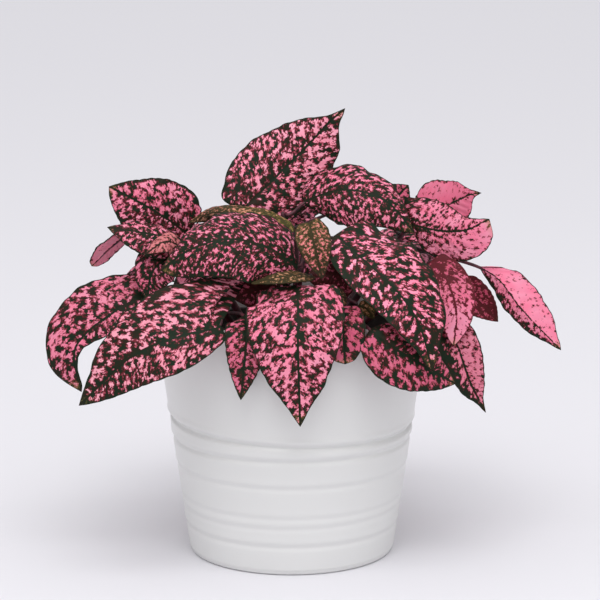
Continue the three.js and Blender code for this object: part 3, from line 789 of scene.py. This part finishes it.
# Each throwing ring: height, depth in mm, tilt in degrees towards the right, and dip towards the front.
RINGS = [
    (0.0643, 1.5, 2.0, 0.0012), (0.0558, 1.0, 0.0, 0.0), (0.0425, 0.5, 0.0, 0.0),
    (0.0276, 0.3, 0.0, 0.0), (0.0228, 0.35, -0.6, 0.0), (0.0138, 0.5, 0.0, 0.0),
]
RING_HALF_HEIGHT = 0.0014


def outer_radius(z):
    return FOOT_RADIUS + (RIM_RADIUS - FOOT_RADIUS) * z / POT_HEIGHT


def cover_pot():
    lip = WALL / 2
    lip_height = POT_HEIGHT - lip
    lip_middle = outer_radius(lip_height) - lip
    profile = [(0.0, 0.0), (FOOT_RADIUS - FOOT_ROUND, 0.0)]
    profile += [(FOOT_RADIUS - FOOT_ROUND * (1 - math.sin(a)), FOOT_ROUND * (1 - math.cos(a)))
                for a in np.linspace(0.3, math.pi / 2, 5)]
    profile += [(outer_radius(z), z) for z in np.linspace(0.0026, lip_height, WALL_ROWS)]
    profile += [(lip_middle + lip * math.cos(a), lip_height + lip * math.sin(a))
                for a in np.linspace(0, math.pi, 13)[1:]]
    profile += [(outer_radius(z) - WALL, z)
                for z in np.linspace(lip_height, POT_FLOOR + FLOOR_ROUND, 40)[1:]]
    profile += [(outer_radius(POT_FLOOR) - WALL - FLOOR_ROUND * (1 - math.cos(a)),
                 POT_FLOOR + FLOOR_ROUND * (1 - math.sin(a)))
                for a in np.linspace(0, math.pi / 2, 5)[1:]]
    profile += [(0.0, POT_FLOOR)]
    piece = spun("glazed_pot", profile, POT_STEPS)
    points = points_of(piece.data)
    radius = np.hypot(points[:, 0], points[:, 1])
    outside = radius > outer_radius(points[:, 2]) - WALL / 2
    pull = np.zeros(len(points))
    for height, depth, tilt, dip in RINGS:
        centre = height - np.tan(math.radians(tilt)) * points[:, 0] + dip * points[:, 1] / FOOT_RADIUS
        offset = (points[:, 2] - centre) / RING_HALF_HEIGHT
        # A groove with a soft shoulder above it.
        pull += depth * (np.exp(-offset**2) - 0.35 * np.exp(-((offset - 1.9) / 1.3) ** 2))
    factor = np.where(outside & (radius > 0.01), 1 - pull * MM / np.maximum(radius, 0.01), 1)
    points[:, :2] *= factor[:, None]
    place_points(piece.data, points)
    piece.data.materials.append(white_glaze())
    smooth(piece, 50)
    finish_piece(piece, "glazed_pot", "cover_pot")


def nursery_pot():
    materials = nodes["nursery_pot"].data.materials
    materials.clear()
    materials.append(liner_plastic())


SOIL_VOXEL = 0.0012
CRUMB_SIZE = 0.0035
CRUMB_DEPTH = 0.0028


def potting_soil():
    piece = merged_copy("potting_soil")
    piece.name = "soil_crumbs"
    piece.data.name = piece.name
    remesh = piece.modifiers.new("crumbs", "REMESH")
    remesh.mode = "VOXEL"
    remesh.voxel_size = SOIL_VOXEL
    apply_modifiers(piece)
    texture = bpy.data.textures.new("crumbs", "CLOUDS")
    texture.noise_scale = CRUMB_SIZE
    texture.noise_depth = 4
    rough = piece.modifiers.new("rough", "DISPLACE")
    rough.texture = texture
    rough.texture_coords = "LOCAL"
    rough.strength = CRUMB_DEPTH
    rough.mid_level = 0.75
    apply_modifiers(piece)
    piece.data.materials.append(soil_crumb())
    smooth(piece)
    finish_piece(piece, "soil", "potting_soil")


# ---------------------------------------------------------------- stage

FLOOR_RADIUS = 9.0
FLOOR_COLOUR = (0.79, 0.78, 0.815)
ROOM_COLOUR = (0.96, 0.96, 0.975)
# The room's light comes mostly from this direction, on top of an even part.
ROOM_FROM = (0.0, -0.3, 0.8)
ROOM_EVEN = 0.4


def stage():
    bpy.ops.mesh.primitive_circle_add(vertices=128, radius=FLOOR_RADIUS, fill_type="NGON")
    floor = bpy.context.object
    floor.name = "floor"
    n = Nodes("floor_paper")
    n.set("Base Color", (*FLOOR_COLOUR, 1))
    n.set("Roughness", 0.9)
    n.set("Specular IOR Level", 0.1)
    floor.data.materials.append(n.material)

    world = bpy.data.worlds.new("studio")
    bpy.context.scene.world = world
    world.use_nodes = True
    tree = world.node_tree
    background = tree.nodes["Background"]
    background.inputs["Color"].default_value = (*ROOM_COLOUR, 1)
    # The room is brightest overhead, and brighter in front of the plant than behind it.
    direction = tree.nodes.new("ShaderNodeTexCoord")
    facing = tree.nodes.new("ShaderNodeVectorMath")
    facing.operation = "DOT_PRODUCT"
    facing.inputs[1].default_value = ROOM_FROM
    strength = tree.nodes.new("ShaderNodeMath")
    strength.operation = "ADD"
    tree.links.new(direction.outputs["Generated"], facing.inputs[0])
    tree.links.new(facing.outputs["Value"], strength.inputs[0])
    strength.inputs[1].default_value = ROOM_EVEN
    tree.links.new(strength.outputs[0], background.inputs["Strength"])

    add_softbox("overhead", (0.0, -0.75, 1.4), (0.85, 0.75), 8)
    bpy.context.scene.view_settings.view_transform = "Standard"


def add_softbox(name, place, size, watts):
    data = bpy.data.lights.new(name, "AREA")
    data.shape = "RECTANGLE"
    data.size, data.size_y = size
    data.energy = watts
    lamp = bpy.data.objects.new(name, data)
    bpy.context.collection.objects.link(lamp)
    lamp.location = place
    aim = Vector((0, 0, 0.12)) - lamp.location
    lamp.rotation_euler = aim.to_track_quat("-Z", "Y").to_euler()


# ---------------------------------------------------------------- the whole plant

add_camera()
cover_pot()
nursery_pot()
potting_soil()
stems()
leaves()
stage()
